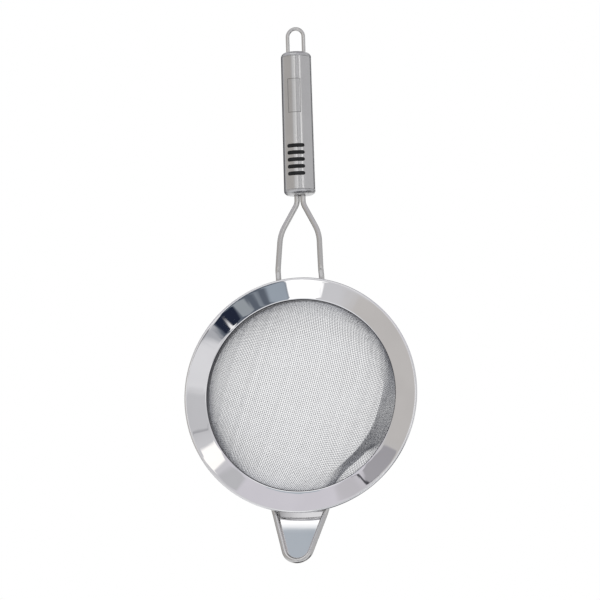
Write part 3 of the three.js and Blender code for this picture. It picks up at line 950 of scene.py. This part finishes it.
upper_cap = press_cap("upper_cap_pressed", HANDLE_RADIUS_HIGH)
for side in (-1, 1):
    bpy.ops.object.select_all(action="DESELECT")
    bpy.ops.mesh.primitive_cylinder_add(
        vertices=48,
        radius=LOOP_WIRE_RADIUS + LOOP_HOLE_FIT,
        depth=DRILL_LENGTH,
        location=(side * LOOP_HALF_WIDTH, 0, 0),
    )
    drill = bpy.context.object
    bpy.ops.object.transform_apply(location=True)
    cut_away(upper_cap, drill)
pick(upper_cap)
upper_cap.rotation_euler = (math.pi, 0, 0)
upper_cap.location = (0, 0, HANDLE_LENGTH)
bpy.ops.object.transform_apply(location=True, rotation=True)
smooth(upper_cap, 40)
set_in_handle(upper_cap)
for cap, node in ((lower_cap, "lower_end_cap"), (upper_cap, "upper_end_cap")):
    cap.data.materials.append(cap_steel)
    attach(cap, "root")
    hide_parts(node)


# ---- Grip bars ----
# Five soft black rubber bars, moulded with a foot that clips in behind the tube wall. Their crowned
# fronts stand just proud of the handle.

BAR_PROUD = 0.00022
BAR_BACK = 0.0021
BAR_CROWN = 0.00035


def mould_bar(index):
    """A bar cut straight, its front edges rounded over, then wrapped round the handle's middle line."""
    height = GRIP_START + index * GRIP_PITCH
    radius = handle_radius(height)
    bar = rounded_cutter(GRIP_HALF_LENGTH, GRIP_HALF_HEIGHT, height, -BAR_PROUD, BAR_BACK)
    bar.name = f"grip_bar_moulded_{index + 1}"
    select_where(bar, lambda centre, normal: normal.y < -0.9)
    bpy.ops.mesh.bevel(offset=BAR_CROWN, segments=4, affect="EDGES")
    for i in range(-7, 8):
        bpy.ops.mesh.select_all(action="SELECT")
        bpy.ops.mesh.bisect(plane_co=(i * GRIP_HALF_LENGTH / 8, 0, 0), plane_no=RIGHT)
    bpy.ops.object.mode_set(mode="OBJECT")
    places = read_places(bar)
    angle = np.arcsin(places[:, 0] / HANDLE_RADIUS_LOW)
    reach = radius - places[:, 1]
    write_places(bar, np.column_stack((reach * np.sin(angle), -reach * np.cos(angle), places[:, 2])))
    smooth(bar, 60)
    set_in_handle(bar)
    return bar


def make_rubber():
    """Matt black rubber with a fine moulded grain and a little dust."""
    material = bpy.data.materials.new("black_rubber_moulded")
    material.use_nodes = True
    nodes, links = material.node_tree.nodes, material.node_tree.links
    surface = nodes["Principled BSDF"]
    place = nodes.new("ShaderNodeTexCoord").outputs["Object"]
    grain = nodes.new("ShaderNodeTexNoise")
    grain.inputs["Scale"].default_value = 3500
    grain.inputs["Detail"].default_value = 3
    links.new(place, grain.inputs["Vector"])
    dust = nodes.new("ShaderNodeTexNoise")
    dust.inputs["Scale"].default_value = 400
    dust.inputs["Detail"].default_value = 5
    links.new(place, dust.inputs["Vector"])
    tone = nodes.new("ShaderNodeValToRGB")
    tone.color_ramp.elements[0].position = 0.45
    tone.color_ramp.elements[1].position = 0.85
    tone.color_ramp.elements[0].color = (0.006, 0.0065, 0.0075, 1)
    tone.color_ramp.elements[1].color = (0.026, 0.027, 0.030, 1)
    links.new(dust.outputs["Fac"], tone.inputs["Fac"])
    links.new(tone.outputs["Color"], surface.inputs["Base Color"])
    surface.inputs["Specular IOR Level"].default_value = 0.28
    rough = nodes.new("ShaderNodeMapRange")
    rough.inputs["To Min"].default_value = 0.45
    rough.inputs["To Max"].default_value = 0.7
    links.new(dust.outputs["Fac"], rough.inputs["Value"])
    links.new(rough.outputs["Result"], surface.inputs["Roughness"])
    bump = nodes.new("ShaderNodeBump")
    bump.inputs["Distance"].default_value = 0.00002
    links.new(grain.outputs["Fac"], bump.inputs["Height"])
    links.new(bump.outputs["Normal"], surface.inputs["Normal"])
    return material


rubber = make_rubber()
for index in range(GRIP_BARS):
    bar = mould_bar(index)
    bar.data.materials.append(rubber)
    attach(bar, "root")
    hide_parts(f"grip_bar_{index + 1}")


# ---- Hanging loop ----
# One thinner bent wire. Its legs pass through the upper cap and are held inside the handle.

LOOP_HEIGHT = 0.0129
LOOP_IN_HANDLE = 0.014


def on_handle(x, height):
    """A place on the handle's middle plane, from its lower end."""
    return HANDLE_START + HANDLE_AXIS * height + Vector((x, 0, 0))


bend_height = HANDLE_LENGTH + LOOP_HEIGHT - LOOP_HALF_WIDTH
top = arc_points(0, bend_height, LOOP_HALF_WIDTH, math.pi, 0, 36)
leg_end = HANDLE_LENGTH - LOOP_IN_HANDLE
outline = [(-LOOP_HALF_WIDTH, leg_end), *top, (LOOP_HALF_WIDTH, leg_end)]
loop = bend_wire("hang_loop_bent", [on_handle(x, height) for x, height in outline], LOOP_WIRE_RADIUS)
loop.data.materials.append(wire_steel)
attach(loop, "root")
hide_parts("hang_loop")


# ---- Rest hook ----
# A bent wire welded behind the rim, tilted forward, that rests on the far edge of a pot. A thin polished
# plate is welded across its back.

HOOK_TILT = math.radians(18)
HOOK_START = -0.0602
HOOK_DEPTH = 0.0036
HOOK_END_DEPTH = 0.0043
HOOK_HALF_WIDTH = 0.0127
HOOK_LEG_SLOPE = math.radians(17.3)
HOOK_TIP_RADIUS = 0.0069
HOOK_BEHIND_RIM = 0.0096
HOOK_BEND = 0.0015
PLATE_SHEET = 0.0008
PLATE_OVERLAP = 0.0035
PLATE_GAP = 0.0001
PLATE_BOW_LENGTH = 0.011
PLATE_BOW = 2.8  # the plate stands back by this times the square of the bowed length
PLATE_EDGE = 0.00018

tip_start = -(HOOK_HALF_WIDTH - HOOK_TIP_RADIUS * math.cos(HOOK_LEG_SLOPE)) / math.tan(HOOK_LEG_SLOPE)
tip_middle = tip_start + HOOK_TIP_RADIUS * math.sin(HOOK_LEG_SLOPE)


def on_hook(x, height, back=0):
    """A place on the hook's tilted plane, from the start of its tilt, or behind that plane."""
    depth = HOOK_DEPTH + height * math.sin(HOOK_TILT) + back * math.cos(HOOK_TILT)
    return from_rim(x, depth, HOOK_START + height * math.cos(HOOK_TILT) - back * math.sin(HOOK_TILT))


def bend_hook():
    """The U of wire: its ends behind the rim, its legs drawn together, and a round tip."""
    spread = math.tan(HOOK_LEG_SLOPE) * HOOK_BEHIND_RIM
    weld_height = HOOK_START + HOOK_BEHIND_RIM
    ends = [from_rim(side * (HOOK_HALF_WIDTH + spread), HOOK_END_DEPTH, weld_height) for side in (-1, 1)]
    tip_left, tip_right = math.pi + HOOK_LEG_SLOPE, 2 * math.pi - HOOK_LEG_SLOPE
    tip_arc = arc_points(0, tip_middle, HOOK_TIP_RADIUS, tip_left, tip_right, 40)
    tip = [on_hook(*point) for point in tip_arc]
    left = rounded_path([(ends[0], 0), (on_hook(-HOOK_HALF_WIDTH, 0), HOOK_BEND), (tip[0], 0)])
    right = rounded_path([(tip[-1], 0), (on_hook(HOOK_HALF_WIDTH, 0), HOOK_BEND), (ends[1], 0)])
    return bend_wire("rest_hook_bent", [*left, *tip[1:-1], *right], WIRE_RADIUS)


def cut_plate():
    """The plate's left edge drawn, swept across to the right one, thickened, then its edges eased. Its
    upper part is bowed back a little."""
    top = (HOOK_HALF_WIDTH + math.tan(HOOK_LEG_SLOPE) * PLATE_OVERLAP, PLATE_OVERLAP)
    tip = arc_points(0, tip_middle, HOOK_TIP_RADIUS, -HOOK_LEG_SLOPE, -math.pi / 2, 16)
    rows = [top, *straight_points(top, tip[0], 24), *tip]
    left = []
    for half, height in rows:
        bowed = PLATE_BOW * max(0, height + PLATE_BOW_LENGTH) ** 2
        left.append(on_hook(-half, height, WIRE_RADIUS + PLATE_GAP + bowed))
    plate = draw_line("rest_plate_cut", left)
    sweep = 0.1
    bpy.ops.object.mode_set(mode="EDIT")
    bpy.ops.mesh.select_all(action="SELECT")
    bpy.ops.mesh.extrude_region_move(TRANSFORM_OT_translate={"value": (sweep, 0, 0)})
    bpy.ops.object.mode_set(mode="OBJECT")
    places = read_places(plate)
    places[:, 0] = np.where(places[:, 0] > sweep / 2, sweep - places[:, 0], places[:, 0])
    write_places(plate, places)
    bpy.ops.object.mode_set(mode="EDIT")
    bpy.ops.mesh.select_all(action="SELECT")
    bpy.ops.mesh.remove_doubles(threshold=1e-6)
    away = Vector((0, math.cos(HOOK_TILT), -math.sin(HOOK_TILT))) * PLATE_SHEET
    bpy.ops.mesh.extrude_region_move(TRANSFORM_OT_translate={"value": away})
    bpy.ops.mesh.select_all(action="SELECT")
    bpy.ops.mesh.normals_make_consistent(inside=False)
    bpy.ops.object.mode_set(mode="OBJECT")
    eased = plate.modifiers.new("eased_edges", "BEVEL")
    eased.width = PLATE_EDGE
    eased.segments = 3
    eased.limit_method = "ANGLE"
    eased.angle_limit = math.radians(50)
    bpy.ops.object.modifier_apply(modifier="eased_edges")
    smooth(plate, 10)
    return plate


hook = bend_hook()
hook.data.materials.append(wire_steel)
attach(hook, "root")
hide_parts("rest_hook_wire")

plate = cut_plate()
plate.data.materials.append(buffed_steel)
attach(plate, "root")
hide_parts("rest_plate")
